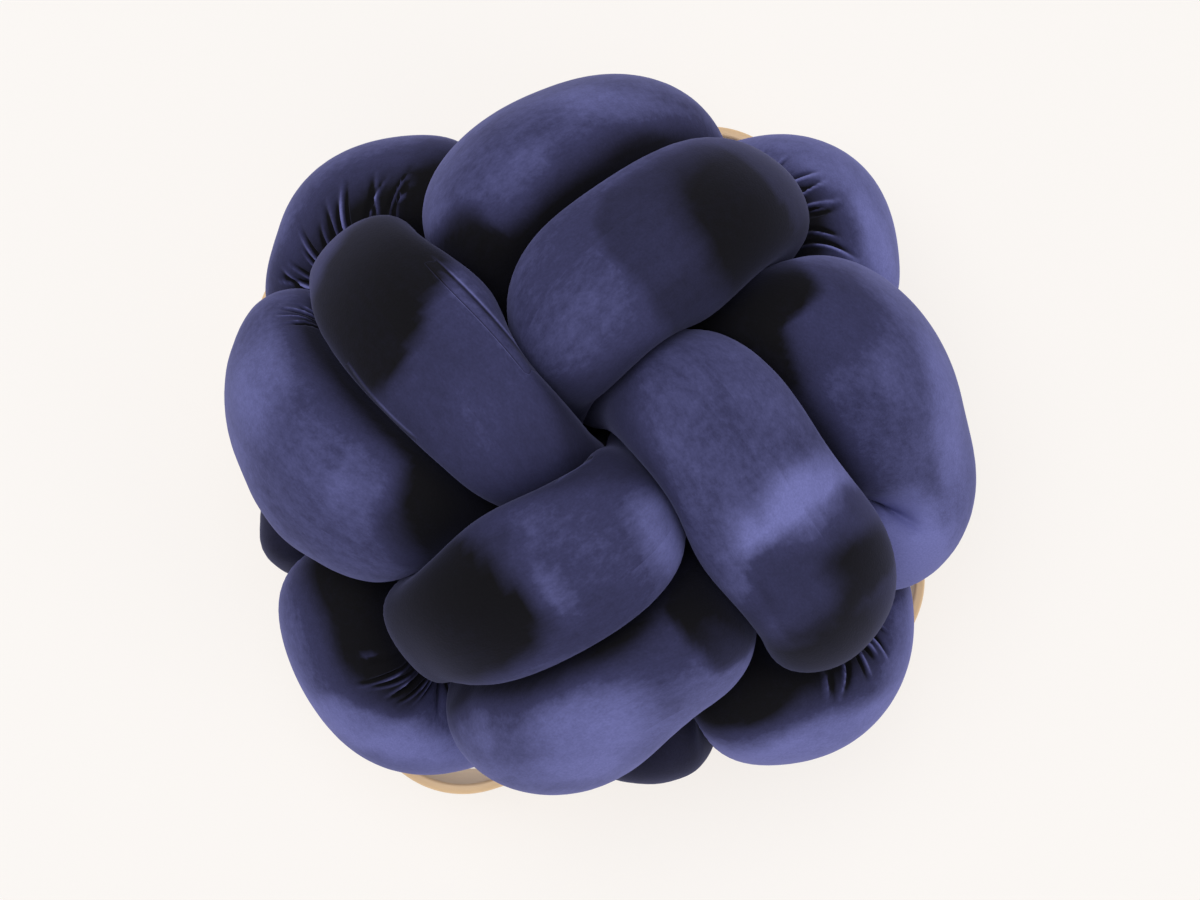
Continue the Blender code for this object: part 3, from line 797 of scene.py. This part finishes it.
def noise(tree, vector, scale, detail, rough, stretch=None):
    """Clouds between 0 and 1, drawn out along an axis by a small stretch."""
    if stretch:
        vector = node(tree, "ShaderNodeMapping", {"Scale": stretch, "Vector": vector})
    inputs = {"Scale": scale, "Detail": detail, "Roughness": rough, "Vector": vector}
    return Field(tree, node(tree, "ShaderNodeTexNoise", inputs).outputs["Fac"])


def colour_mix(tree, factor, a, b, blend="MIX"):
    """From colour a towards colour b."""
    made = node(tree, "ShaderNodeMix", data_type="RGBA", blend_type=blend, clamp_factor=True)
    feed(tree, made, {0: factor, 6: a, 7: b})
    return made.outputs[2]


# ---------------- velvet and wood
# What a pattern group puts out.
SURFACE = (("Color", "Color"), ("Roughness", "Float"), ("Normal", "Vector"))


def velvet_pile_group():
    """Cut pile: stroked patches, brush streaks and the fine grain of the tips, with the painted highlight and
    shade of the fine creases.
    """
    group, given, out = new_group("Velvet Pile", "ShaderNodeTree", (
        ("Cloth", "Vector"), ("Nap", "Float", 0.5), ("Line", "Float", NO_LINE), ("Line Shown", "Float", 0.0),
        ("Shade", "Color", (0.01, 0.01, 0.02, 1)), ("Middle", "Color", (0.06, 0.06, 0.16, 1)),
        ("Light", "Color", (0.2, 0.2, 0.5, 1)), ("Streaks", "Float", 0.3),
        ("Pile Depth", "Float", PILE_DEPTH)), SURFACE)
    cloth = given["Cloth"]
    nap_and_painted_light, line, shown, strength, depth = (
        Field(group, given[name]) for name in ("Nap", "Line", "Line Shown", "Streaks", "Pile Depth"))
    patches = noise(group, cloth, 14.0, 4.0, 0.55)
    streaks = noise(group, cloth, 55.0, 5.0, 0.62, (0.8, 1.3, 1.0))
    tips = noise(group, cloth, 900.0, 2.0, 0.6)
    crumbs = noise(group, cloth, 260.0, 3.0, 0.6)
    drift = ((patches - 0.5) * 0.60 + (streaks - 0.5) * 0.45 + (crumbs - 0.5) * 0.40) * strength
    drift = drift * (nap_and_painted_light * 1.6 + 0.2).held()
    # A fine crease: a painted highlight along it and painted shade beside it, both added to the tone, and a
    # small bump.
    pale = NATURAL ** (line ** 2.0 * -1.0)
    painted_line_shade = NATURAL ** ((line + 1.7) ** 2.0 * -0.6)
    crease = (pale * 0.38 - painted_line_shade * 0.45) * shown
    tone = (nap_and_painted_light + drift + crease).held()
    dark = colour_mix(group, (tone * 2.0).held(), given["Shade"], given["Middle"])
    mixed = colour_mix(group, (tone * 2.0 - 1.0).held(), dark, given["Light"])
    mixed = colour_mix(group, 1.0, mixed, tips * 0.5 + 0.75, "MULTIPLY")
    height = (tips * 0.6 + crumbs * 0.5 + crease * 3.0) * depth
    bump = node(group, "ShaderNodeBump", {"Strength": 0.55, "Distance": 1.0, "Height": height})
    feed(group, out, {"Color": mixed, "Roughness": streaks * 0.16 + 0.78, "Normal": bump})
    return group


def wood_grain_group():
    """Long pale grain with short dark pores, running with the band."""
    group, given, out = new_group("Bent Wood Grain", "ShaderNodeTree", (
        ("Run", "Vector"), ("Pale", "Color", (0.85, 0.65, 0.42, 1)),
        ("Dark", "Color", (0.6, 0.4, 0.2, 1))), SURFACE)
    run = given["Run"]
    years = noise(group, run, 40.0, 5.0, 0.6, (0.06, 3.0, 1.0))
    fibres = noise(group, run, 300.0, 4.0, 0.65, (0.05, 3.0, 1.0))
    pores = noise(group, run, 420.0, 2.0, 0.5, (0.08, 2.2, 1.0))
    mixed = colour_mix(group, (years * 0.75 + fibres * 0.45 - 0.32).held(), given["Pale"], given["Dark"])
    flecks = ((pores - 0.62).held() * 2.2).held()
    mixed = colour_mix(group, flecks, mixed, given["Dark"])
    height = fibres * 0.6 - flecks
    bump = node(group, "ShaderNodeBump", {"Strength": 0.35, "Distance": 0.0002, "Height": height})
    feed(group, out, {"Color": mixed, "Roughness": fibres * 0.20 + 0.34, "Normal": bump})
    return group


def pattern_material(name, group, uv, layers, values, constants):
    """Constants stand on the shader; colour, roughness and normal come from the group."""
    made = bpy.data.materials.new(name)
    made.use_nodes = True
    tree = made.node_tree
    pattern = node(tree, "ShaderNodeGroup", values, node_tree=group)
    feed(tree, pattern, {uv[0]: node(tree, "ShaderNodeUVMap", uv_map=uv[1])})
    for title, layer in layers:
        value = node(tree, "ShaderNodeAttribute", attribute_type="GEOMETRY", attribute_name=layer)
        feed(tree, pattern, {title: value.outputs["Fac"]})
    given = {"Base Color": pattern.outputs["Color"], "Roughness": pattern.outputs["Roughness"],
             "Normal": pattern.outputs["Normal"], "Metallic": 0.0}
    feed(tree, tree.nodes["Principled BSDF"], {**given, **constants})
    return made


def velvet_material(name, s):
    """Short pile, nearly matt, with a violet sheen at grazing angles."""
    group = bpy.data.node_groups.get("Velvet Pile") or velvet_pile_group()
    return pattern_material(
        # The base colour follows the pile tone, with its painted shade and painted sheen.
        name, group, ("Cloth", "Cloth"), (("Nap", "nap_and_painted_light"), ("Line", "line"), ("Line Shown", "line_shown")),
        {"Shade": (*s.shade, 1), "Middle": (*s.middle, 1), "Light": (*s.light, 1), "Streaks": s.streaks,
         "Pile Depth": PILE_DEPTH},
        {"IOR": 1.4, "Specular IOR Level": 0.12, "Sheen Weight": 0.17, "Sheen Roughness": 0.42,
         "Sheen Tint": (0.46, 0.48, 0.95, 1)})


def wood_material(name, s):
    """Pale wood under a thin satin coat."""
    return pattern_material(
        name, wood_grain_group(), ("Run", "Grain"), (), {"Pale": (*s.pale, 1), "Dark": (*s.dark, 1)},
        {"Specular IOR Level": 0.4, "Coat Weight": 0.15, "Coat Roughness": 0.25})


# ---------------- the wood band
def bent_band_tree():
    """A rectangle with eased corners, carried round a rounded square."""
    tree, given, out = new_group("Bent Band", "GeometryNodeTree", (
        ("Width", "Float", 0.43, "DISTANCE", 0.05), ("Corner Radius", "Float", 0.07, "DISTANCE", 0.01),
        ("Thickness", "Float", 0.0075, "DISTANCE", 0.001), ("Height", "Float", 0.07, "DISTANCE", 0.01),
        ("Edge Radius", "Float", 0.002, "DISTANCE", 0.0002), ("Turn", "Float", 0.0, "ANGLE"),
        ("Stands At", "Vector", (0.0, 0.0, 0.0)), ("Wood", "Material")), (("Geometry", "Geometry"),))
    width, corner, thickness, height = (
        Field(tree, given[name]) for name in ("Width", "Corner Radius", "Thickness", "Height"))
    middle = width - thickness
    square, fillet = "GeometryNodeCurvePrimitiveQuadrilateral", "GeometryNodeFilletCurve"
    run = node(tree, square, {"Width": middle, "Height": middle}, mode="RECTANGLE")
    bends = node(tree, fillet, {"Curve": run, "Radius": corner - thickness * 0.5, "Count": 26}, mode="POLY")
    section = node(tree, square, {"Width": thickness, "Height": height}, mode="RECTANGLE")
    edges = node(tree, fillet, {"Curve": section, "Radius": given["Edge Radius"], "Count": 5}, mode="POLY")
    sweep = node(tree, "GeometryNodeCurveToMesh", {"Curve": bends, "Profile Curve": edges})
    smooth = node(tree, "GeometryNodeSetShadeSmooth", {"Geometry": sweep})
    lift = node(tree, "ShaderNodeCombineXYZ", {"Z": height * 0.5})
    place = node(tree, "ShaderNodeVectorMath", {0: lift, 1: given["Stands At"]}, operation="ADD")
    spin = node(tree, "ShaderNodeCombineXYZ", {"Z": given["Turn"]})
    stand = node(tree, "GeometryNodeTransform", {"Geometry": smooth, "Translation": place, "Rotation": spin})
    real = node(tree, "GeometryNodeRealizeInstances", {"Geometry": stand})
    finish = node(tree, "GeometryNodeSetMaterial", {"Geometry": real, "Material": given["Wood"]})
    feed(tree, out, {"Geometry": finish})
    return tree


def set_input(modifier, tree, name, value):
    """Set a named input of the tree through its socket's identifier."""
    for item in tree.interface.items_tree:
        if item.item_type == "SOCKET" and item.in_out == "INPUT" and item.name == name:
            modifier[item.identifier] = value
            return
    raise RuntimeError(f"{tree.name} has no input named {name}")


def plain_mesh(holder, name):
    """What the modifiers give, as a mesh of its own."""
    bpy.context.view_layer.update()
    seen = holder.evaluated_get(bpy.context.evaluated_depsgraph_get())
    mesh = bpy.data.meshes.new_from_object(seen)
    mesh.name = name
    bpy.data.objects.remove(holder)
    return mesh


def outward_faces(mesh):
    """Turn every face of a closed mesh outwards."""
    if sum(face.normal.dot(face.center) * face.area for face in mesh.polygons) < 0:
        mesh.flip_normals()


def grain_map(mesh, half, corner, turn):
    """Unroll the band: x runs along the wood, y runs round its section."""
    flat = half - corner
    quarter_run = 2 * flat + corner * math.pi / 2
    whole = 4 * quarter_run
    layer = mesh.uv_layers.new(name="Grain")
    cos, sin = math.cos(-turn), math.sin(-turn)

    def run_at(co):
        x, y = co.x * cos - co.y * sin, co.x * sin + co.y * cos
        quarter = 0
        while not (x > 0 and -x < y <= x) and quarter < 4:
            x, y, quarter = y, -x, quarter + 1
        past = abs(y) - flat
        along = abs(y) if past <= 0 else flat + corner * math.atan2(past, max(x - flat, 1e-6))
        return (quarter % 4) * quarter_run + math.copysign(along, y), math.hypot(x, y)

    places = [run_at(vert.co - Vector(AXIS)) for vert in mesh.vertices]
    for face in mesh.polygons:
        first = places[mesh.loops[face.loop_start].vertex_index][0]
        for index in face.loop_indices:
            vertex = mesh.loops[index].vertex_index
            run, out = places[vertex]
            run += whole * round((first - run) / whole)
            layer.data[index].uv = (run, mesh.vertices[vertex].co.z + out)


# ---------------- what a user may set
class KNOTCUSHION_PG_tubes(bpy.types.PropertyGroup):
    rings: IntProperty(name="Sections", description="Sections of a tube where the pressing is worked out",
                       default=440, min=120, max=900)
    sides: IntProperty(name="Corners", description="Corners of each of those sections",
                       default=48, min=12, max=96)
    fine_rings: IntProperty(name="Fine Sections", description="Sections of the finished skin",
                            default=1240, min=200, max=2000)
    fine_sides: IntProperty(name="Fine Corners", description="Corners of a finished section",
                            default=80, min=24, max=160)
    crease: FloatProperty(name="Crease", description="Gap left between two pressed passes",
                          default=0.0006, min=0.0, max=0.01, unit="LENGTH")
    fold_depth: FloatProperty(name="Pucker Depth", description="Depth of the deepest pucker",
                              default=0.0030, min=0.0, max=0.01, unit="LENGTH")
    # Strength of the painted highlight on pucker ridges and of the painted shade in their troughs.
    fold_painted_shading: FloatProperty(name="Pucker Shine", description="How far ridges lighten and troughs darken",
                              default=1.1, min=0.0, max=2.0, subtype="FACTOR")
    lump: FloatProperty(name="Lumpiness", description="Height of the filling's slow unevenness",
                        default=0.0005, min=0.0, max=0.01, unit="LENGTH")
    seed: IntProperty(name="Seed", description="Picks the puckers and the lumps", default=7, min=0)
    shade: FloatVectorProperty(name="Pile Away", description="Colour where the pile lies away from the light",
                               default=(0.0042, 0.0040, 0.0052), min=0, max=1, subtype="COLOR")
    middle: FloatVectorProperty(name="Pile Upright", description="Colour where the pile stands upright",
                                default=(0.036, 0.037, 0.098), min=0, max=1, subtype="COLOR")
    light: FloatVectorProperty(name="Pile Towards", description="Colour where it lies towards the light",
                               default=(0.150, 0.158, 0.390), min=0, max=1, subtype="COLOR")
    streaks: FloatProperty(name="Stroke Marks", description="How strongly the pile has been stroked about",
                           default=0.55, min=0, max=2, subtype="FACTOR")


class KNOTCUSHION_PG_band(bpy.types.PropertyGroup):
    width: FloatProperty(name="Width", description="Outer width of the band",
                         default=2 * BAND_HALF, unit="LENGTH")
    corner: FloatProperty(name="Corner Radius", description="Outer radius of its bends",
                          default=BAND_CORNER, unit="LENGTH")
    thickness: FloatProperty(name="Thickness", description="Thickness of the wood",
                             default=BAND_THICK, unit="LENGTH")
    height: FloatProperty(name="Height", description="Height of the band", default=BAND_HEIGHT, unit="LENGTH")
    edge: FloatProperty(name="Edge Radius", description="Rounding of its edges",
                        default=0.0022, unit="LENGTH")
    turn: FloatProperty(name="Turn", description="Bearing of the middle of one side",
                        default=math.radians(BAND_TURN), unit="ROTATION")
    pale: FloatVectorProperty(name="Pale Wood", description="Colour between the grain",
                              default=(0.86, 0.61, 0.36), min=0, max=1, subtype="COLOR")
    dark: FloatVectorProperty(name="Grain", description="Colour of the grain",
                              default=(0.64, 0.40, 0.20), min=0, max=1, subtype="COLOR")


class KNOTCUSHION_PG_stage(bpy.types.PropertyGroup):
    floor: FloatVectorProperty(name="Floor", description="Colour of the floor",
                               default=(0.963, 0.934, 0.909), min=0, max=1, subtype="COLOR")
    glow: FloatProperty(name="Floor Glow", description="Share of the floor's brightness that casts no shadow",
                        default=0.72, min=0, max=1, subtype="FACTOR")
    sky: FloatProperty(name="Fill Light", description="Strength of the light from all round",
                       default=0.62, min=0)
    lamp: FloatProperty(name="Softbox", description="Power of the softbox overhead",
                        default=17.0, min=0, unit="POWER")
    lens: FloatProperty(name="Lens", description="Focal length in millimetres", default=39.6, min=10)


# ---------------- operators
def placed(name, data):
    """An object at the origin that holds the data, in the scene."""
    made = bpy.data.objects.new(name, data)
    bpy.context.scene.collection.objects.link(made)
    return made


def keep(piece, slot_name, *nodes):
    """Stand a finished piece in for its solids and hang it on the root body."""
    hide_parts(*nodes)
    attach(piece, "root")


def outward_normals(skin):
    """The unit normal at each corner of a skin, away from the tube's middle."""
    normal = np.cross(np.roll(skin, -1, 0) - np.roll(skin, 1, 0), np.roll(skin, -1, 1) - np.roll(skin, 1, 1))
    normal /= np.maximum(np.linalg.norm(normal, axis=2, keepdims=True), 1e-12)
    return normal * np.sign((normal * (skin - skin.mean(1, keepdims=True))).sum(2, keepdims=True))


def pressed_tubes(s):
    """Path, radii and directions of both tubes, drawn clear of each other, and where they are held."""
    keys = [knot_keys(TOP_INNER, LOW_OUTER, True), knot_keys(TOP_OUTER, LOW_INNER, False)]
    fine = [smooth_loop(k, FINE) for k in keys]
    tubes, touch = [], []
    for i, path in enumerate([smooth_loop(k, s.rings) for k in keys]):
        radii, ways, pressed = pressed_radii(path, fine[i], fine[1 - i], s.sides, s.crease)
        tubes.append((path + AXIS, radii, ways))
        touch.append(pressed)
    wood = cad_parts["wood_band"].data
    ease_apart(tubes, ([tuple(v.co) for v in wood.vertices], [tuple(p.vertices) for p in wood.polygons]))
    return tubes, touch


class KNOTCUSHION_OT_tubes(bpy.types.Operator):
    """Lay both velvet tubes round the knot, press them together and pucker them"""
    bl_idname = "knotcushion.tubes"
    bl_label = "Tie Velvet Tubes"

    def execute(self, context):
        s = context.scene.knot_tubes
        tubes, touch = pressed_tubes(s)
        rng = np.random.default_rng(s.seed)
        for tube, name in ((INNER, "velvet_tube_inner"), (OUTER, "velvet_tube_outer")):
            path, radii, ways = tubes[tube]
            length = np.linalg.norm(np.roll(path, -1, 0) - path, axis=1).sum()
            gathers = [g for g in GATHERS if g.tube == tube]
            where = ring_places(length, path, [(g.start, g.end) for g in gathers], s.fine_rings)
            rows = where * len(path)
            skin = smoothed(tube, refined(path[:, None] + radii[..., None] * ways, rows, s.fine_sides))
            pressed = ramp(refined(touch[tube], rows, s.fine_sides))
            distance = crease_distance(skin, pressed)
            depth = filling_lumps(where, s.fine_sides, rng, s.lump) * (1 - pressed)
            depth += bulges(tube, skin - AXIS)
            painted_fold_shading = np.zeros_like(depth)
            for gather in gathers:
                height, bright = folds(where, distance, length, gather, rng)
                depth += height * s.fold_depth
                painted_fold_shading += bright
            normal = outward_normals(skin)
            skin = skin + depth[..., None] * normal
            # The tone holds painted shade and sheen, and the puckers' painted highlights and shade.
            tone = ramp(pile_tone_and_painted_light(tube, where, skin - AXIS, normal[..., 2], distance)) + s.fold_painted_shading * painted_fold_shading
            mesh = velvet_mesh(name, skin, where, length, tone, *fine_lines(tube, where, skin - AXIS))
            mesh.materials.append(velvet_material(name.replace("_", " "), s))
            piece = placed(name, mesh)
            keep(piece, "velvet", ("knot_tube_inner", "knot_tube_outer")[tube])
        return {"FINISHED"}


class KNOTCUSHION_OT_band(bpy.types.Operator):
    """Bend the wood band that the cushion stands in"""
    bl_idname = "knotcushion.band"
    bl_label = "Bend Wood Band"

    def execute(self, context):
        s = context.scene.knot_band
        holder = placed("bent_band_holder", bpy.data.meshes.new("bent_band_holder"))
        tree = bent_band_tree()
        modifier = holder.modifiers.new("Bent Band", "NODES")
        modifier.node_group = tree
        wood = wood_material("bent wood", s)
        for name, value in (("Width", s.width), ("Corner Radius", s.corner), ("Thickness", s.thickness),
                            ("Height", s.height), ("Edge Radius", s.edge), ("Turn", s.turn),
                            ("Stands At", AXIS), ("Wood", wood)):
            set_input(modifier, tree, name, value)
        mesh = plain_mesh(holder, "bent_wood_band")
        outward_faces(mesh)
        grain_map(mesh, s.width / 2, s.corner, s.turn)
        keep(placed("bent_wood_band", mesh), "wood", "wood_band")
        return {"FINISHED"}


class KNOTCUSHION_OT_stage(bpy.types.Operator):
    """Lay the pale floor, hang the soft light and set the camera"""
    bl_idname = "knotcushion.stage"
    bl_label = "Set Stage"

    def execute(self, context):
        s = context.scene.knot_stage
        scene = context.scene
        scene.view_settings.view_transform = "Standard"
        floor = bpy.data.meshes.new("floor")
        reach = 6.0
        floor.from_pydata([(-reach, -reach, 0), (reach, -reach, 0), (reach, reach, 0), (-reach, reach, 0)],
                          [], [(0, 1, 2, 3)])
        paint = bpy.data.materials.new("pale floor")
        paint.use_nodes = True
        feed(paint.node_tree, paint.node_tree.nodes["Principled BSDF"], {
            "Base Color": (*(c * (1 - s.glow) for c in s.floor), 1), "Emission Color": (*s.floor, 1),
            "Emission Strength": s.glow, "Roughness": 0.9, "Specular IOR Level": 0.1})
        floor.materials.append(paint)
        ground = placed("floor", floor)
        scene.world = bpy.data.worlds.new("studio")
        scene.world.use_nodes = True
        sky = scene.world.node_tree
        feed(sky, sky.nodes["Background"], {"Color": (1.0, 0.985, 0.955, 1), "Strength": s.sky})
        for name, at, width, power, tilt in (
                ("softbox", (-0.35, 0.25, 1.9), 1.6, s.lamp, (-8, -10, 0)),
                ("window", (1.7, -1.1, 1.1), 1.4, s.lamp * 0.4, (55, 0, 57))):
            lamp = bpy.data.lights.new(name, "AREA")
            lamp.shape, lamp.size, lamp.energy = "DISK", width, power
            hung = placed(name, lamp)
            hung.location, hung.rotation_euler = at, [math.radians(angle) for angle in tilt]
        seen = bpy.data.cameras.new("camera")
        seen.lens, seen.sensor_width, seen.clip_start = s.lens, 36.0, 0.01
        eye = placed("camera", seen)
        eye.location = (AXIS[0] + EYE[0], EYE[1], EYE[2])
        eye.rotation_euler = (math.atan2(OFF_MIDDLE[1], FOCUS), -math.atan2(OFF_MIDDLE[0], FOCUS), 0.0)
        scene.camera = eye
        return {"FINISHED"}


class KNOTCUSHION_PT_panel(bpy.types.Panel):
    """Everything that makes the knot cushion"""
    bl_label = "Knot Cushion"
    bl_idname = "KNOTCUSHION_PT_panel"
    bl_space_type = "VIEW_3D"
    bl_region_type = "UI"
    bl_category = "Knot Cushion"

    def draw(self, context):
        for operator, group in ((KNOTCUSHION_OT_tubes, context.scene.knot_tubes),
                                (KNOTCUSHION_OT_band, context.scene.knot_band),
                                (KNOTCUSHION_OT_stage, context.scene.knot_stage)):
            box = self.layout.box()
            box.operator(operator.bl_idname)
            for name in group.bl_rna.properties.keys():
                if name not in ("rna_type", "name"):
                    box.prop(group, name)


CLASSES = (KNOTCUSHION_PG_tubes, KNOTCUSHION_PG_band, KNOTCUSHION_PG_stage,
           KNOTCUSHION_OT_tubes, KNOTCUSHION_OT_band, KNOTCUSHION_OT_stage, KNOTCUSHION_PT_panel)


def register():
    """Make the operators, the panel and the settings known."""
    for made in CLASSES:
        bpy.utils.register_class(made)
    bpy.types.Scene.knot_tubes = PointerProperty(type=KNOTCUSHION_PG_tubes)
    bpy.types.Scene.knot_band = PointerProperty(type=KNOTCUSHION_PG_band)
    bpy.types.Scene.knot_stage = PointerProperty(type=KNOTCUSHION_PG_stage)


def unregister():
    """Take them away again."""
    for name in ("knot_tubes", "knot_band", "knot_stage"):
        delattr(bpy.types.Scene, name)
    for made in reversed(CLASSES):
        bpy.utils.unregister_class(made)


def main():
    """Make every piece and the stage."""
    register()
    bpy.ops.knotcushion.tubes()
    bpy.ops.knotcushion.band()
    bpy.ops.knotcushion.stage()


if __name__ == "__main__":
    main()
